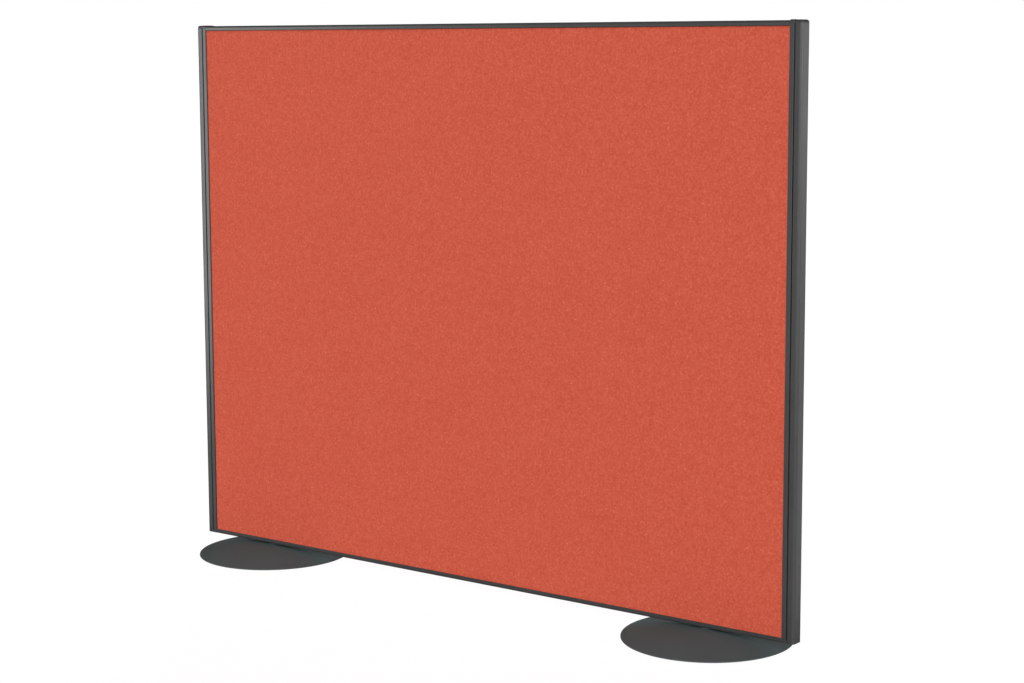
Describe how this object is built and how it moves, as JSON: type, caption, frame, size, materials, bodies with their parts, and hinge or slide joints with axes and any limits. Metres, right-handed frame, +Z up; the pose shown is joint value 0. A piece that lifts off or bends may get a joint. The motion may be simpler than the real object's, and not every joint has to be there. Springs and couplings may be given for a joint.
{
  "type": "office floor screen",
  "caption": "Free-standing office floor screen: a cloth-covered padded panel in a slim charcoal frame with lift-off edge trims, on shallow domed disc feet.",
  "frame": {"origin": "on the floor, under the middle of the screen", "axes": "+X along the width, +Y from front to back through the thickness, +Z up"},
  "size_m": [1.6, 0.348, 1.2235],
  "materials": {
    "frame_charcoal": "satin charcoal powder coat",
    "cap_charcoal": "fine moulded texture",
    "board": "raw chipboard",
    "wadding": "needled wadding",
    "cloth_coral": "plain crepe weave with light flecks",
    "zinc_steel": "zinc plated",
    "cover_charcoal": "satin charcoal powder coat",
    "weight_iron": "painted casting",
    "pad_rubber": "matt"
  },
  "bodies": {
    "panel": {"top_rail": "frame_charcoal", "bottom_rail": "frame_charcoal", "stile_left": "frame_charcoal", "stile_right": "frame_charcoal", "stile_cap_left": "cap_charcoal", "stile_cap_right": "cap_charcoal", "stile_plug_left": "cap_charcoal", "stile_plug_right": "cap_charcoal", "core_board": "board", "padding_front": "wadding", "padding_back": "wadding", "fabric_front": "cloth_coral", "fabric_back": "cloth_coral", "corner_bracket_top_left": "zinc_steel", "corner_bracket_top_right": "zinc_steel", "corner_bracket_bottom_left": "zinc_steel", "corner_bracket_bottom_right": "zinc_steel", "stile_screws": "zinc_steel", "bracket_stile_screws": "zinc_steel", "bracket_rail_screws": "zinc_steel", "nut_plate_left": "zinc_steel", "nut_plate_right": "zinc_steel", "nut_plate_screws": "zinc_steel", "foot_bolt_left": "zinc_steel", "foot_bolt_right": "zinc_steel", "foot_washer_left": "zinc_steel", "foot_washer_right": "zinc_steel", "foot_spacer_left": "cover_charcoal", "foot_spacer_right": "cover_charcoal"},
    "edge_trim_left": {"edge_trim_left": "frame_charcoal", "trim_cap_left": "cap_charcoal", "trim_plug_left": "cap_charcoal"},
    "foot_left": {"foot_cover_left": "cover_charcoal", "foot_weight_left": "weight_iron", "foot_pad_left": "pad_rubber"},
    "edge_trim_right": {"edge_trim_right": "frame_charcoal", "trim_cap_right": "cap_charcoal", "trim_plug_right": "cap_charcoal"},
    "foot_right": {"foot_cover_right": "cover_charcoal", "foot_weight_right": "weight_iron", "foot_pad_right": "pad_rubber"}
  },
  "joints": [
    {"name": "foot_left_turn", "type": "hinge", "parent": "panel", "child": "foot_left", "pos_m": [-0.5945, 0, 0.01], "axis": [0, 0, 1], "continuous": true},
    {"name": "foot_right_turn", "type": "hinge", "parent": "panel", "child": "foot_right", "pos_m": [0.5945, 0, 0.01], "axis": [0, 0, 1], "continuous": true},
    {"name": "edge_trim_left_lift", "type": "slide", "parent": "panel", "child": "edge_trim_left", "axis": [0, 0, 1], "range_m": [0, 1.19]},
    {"name": "edge_trim_right_lift", "type": "slide", "parent": "panel", "child": "edge_trim_right", "axis": [0, 0, 1], "range_m": [0, 1.19]}
  ]
}
